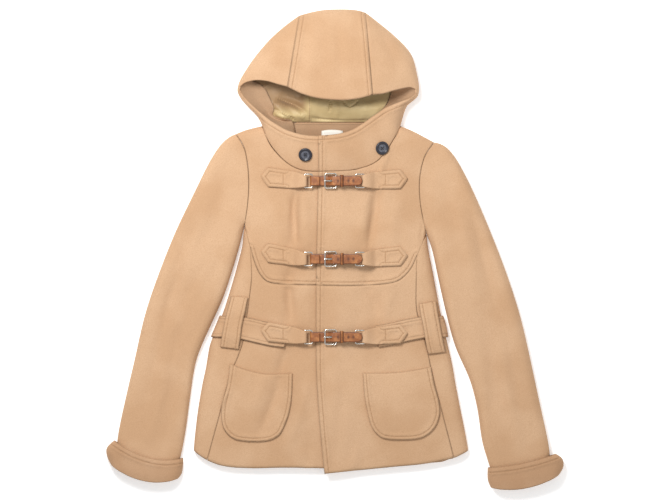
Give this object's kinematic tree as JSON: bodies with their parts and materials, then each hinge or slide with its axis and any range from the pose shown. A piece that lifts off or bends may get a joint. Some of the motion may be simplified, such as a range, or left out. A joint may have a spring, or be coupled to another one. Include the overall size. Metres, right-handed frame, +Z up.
{
  "type": "duffle coat",
  "caption": "Short hooded wool coat laid flat, with belted waist, patch pockets, turned-up cuffs and buckled leather straps.",
  "frame": {"origin": "on the surface, under the middle of the laid-out coat's outline", "axes": "+Z up from the surface, +Y towards the hood, +X towards the wearer's left side"},
  "size_m": [0.822, 0.8635, 0.0593],
  "materials": {
    "wool": "camel wool melton with a short brushed nap",
    "lining": "khaki-gold satin lining",
    "label": "bare woven label",
    "leather": "cognac leather, smooth, edge stitched",
    "metal": "polished nickel",
    "button": "dark horn-like plastic with a paler centre"
  },
  "bodies": {
    "root": {"back": "wool", "side_right": "wool", "side_left": "wool", "lower_front_right": "wool", "lower_front_left": "wool", "yoke_front_right": "wool", "yoke_front_left": "wool", "top_sleeve_right": "wool", "top_sleeve_left": "wool", "under_sleeve_right": "wool", "under_sleeve_left": "wool", "cuff_right": "wool", "cuff_left": "wool", "hood_middle": "wool", "hood_right": "wool", "hood_left": "wool", "back_neck_facing": "wool", "pocket_right": "wool", "pocket_left": "wool", "belt": "wool", "belt_loop_right": "wool", "belt_loop_left": "wool", "hood_lining": "lining", "label": "label", "button_right": "button", "button_left": "button", "top_tab_right": "wool", "top_tab_left": "wool", "top_ring_right": "metal", "top_ring_left": "metal", "top_buckle": "metal", "top_prong": "metal", "top_billet": "leather", "top_chape": "leather", "top_keeper": "leather", "middle_tab_right": "wool", "middle_tab_left": "wool", "middle_ring_right": "metal", "middle_ring_left": "metal", "middle_buckle": "metal", "middle_prong": "metal", "middle_billet": "leather", "middle_chape": "leather", "middle_keeper": "leather", "belt_tab_right": "wool", "belt_tab_left": "wool", "belt_ring_right": "metal", "belt_ring_left": "metal", "belt_buckle": "metal", "belt_prong": "metal", "belt_billet": "leather", "belt_chape": "leather", "belt_keeper": "leather"}
  },
  "joints": []
}
